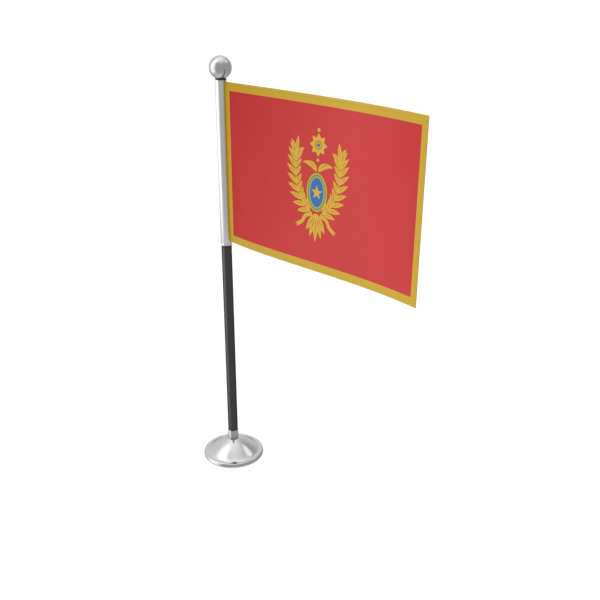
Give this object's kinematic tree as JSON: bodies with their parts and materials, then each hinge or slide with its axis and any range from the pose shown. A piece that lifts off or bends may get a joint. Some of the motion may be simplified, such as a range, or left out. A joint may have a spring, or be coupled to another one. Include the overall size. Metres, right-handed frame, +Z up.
{
  "type": "desk flag stand",
  "caption": "Desk flag stand: weighted bell-shaped chrome foot, black pole, ball finial and a stiffened flag on a slotted tube that turns about the pole.",
  "frame": {"origin": "middle of the foot pad's underside, on the pole's axis", "axes": "+Z up along the pole, +X along the flag from the pole to its fly edge, +Y out of the flag's back"},
  "size_m": [0.2619, 0.0628, 0.4121],
  "materials": {
    "chrome": "polished chrome plate, almost a mirror",
    "silver": "polished aluminium, a little softer than the chrome",
    "black_coat": "satin black coating",
    "steel": "plain turned steel",
    "cast_iron": "as cast",
    "brass": "turned brass",
    "black_nylon": "matt black nylon",
    "rubber": "nitrile rubber",
    "felt": "dark felt",
    "flag_cloth": "red satin flag cloth with a golden border and a printed emblem",
    "interlining": "stiff woven interlining"
  },
  "bodies": {
    "base": {"base_cover": "chrome", "base_weight": "cast_iron", "base_pad": "felt", "pole_socket": "chrome", "base_washer": "steel", "base_lock_washer": "steel", "base_screw": "steel"},
    "pole": {"pole_tube": "black_coat", "pole_foot_plug": "steel", "foot_o_ring": "rubber", "pole_top_plug": "steel", "spindle": "steel"},
    "flag_set": {"flag_tube": "silver", "lower_bush": "black_nylon", "upper_bush": "black_nylon", "hoist_rod": "steel", "flag_front_panel": "flag_cloth", "flag_back_panel": "flag_cloth", "flag_interlining": "interlining"},
    "finial": {"ball_finial": "chrome", "finial_insert": "brass"}
  },
  "joints": [
    {"name": "pole_lift", "type": "slide", "parent": "base", "child": "pole", "axis": [0, 0, 1], "range_m": [0, 0.022]},
    {"name": "flag_swivel", "type": "hinge", "parent": "pole", "child": "flag_set", "pos_m": [0, 0, 0.2345], "axis": [0, 0, 1], "continuous": true},
    {"name": "finial_lift", "type": "slide", "parent": "pole", "child": "finial", "axis": [0, 0, 1], "range_m": [0, 0.014]}
  ]
}
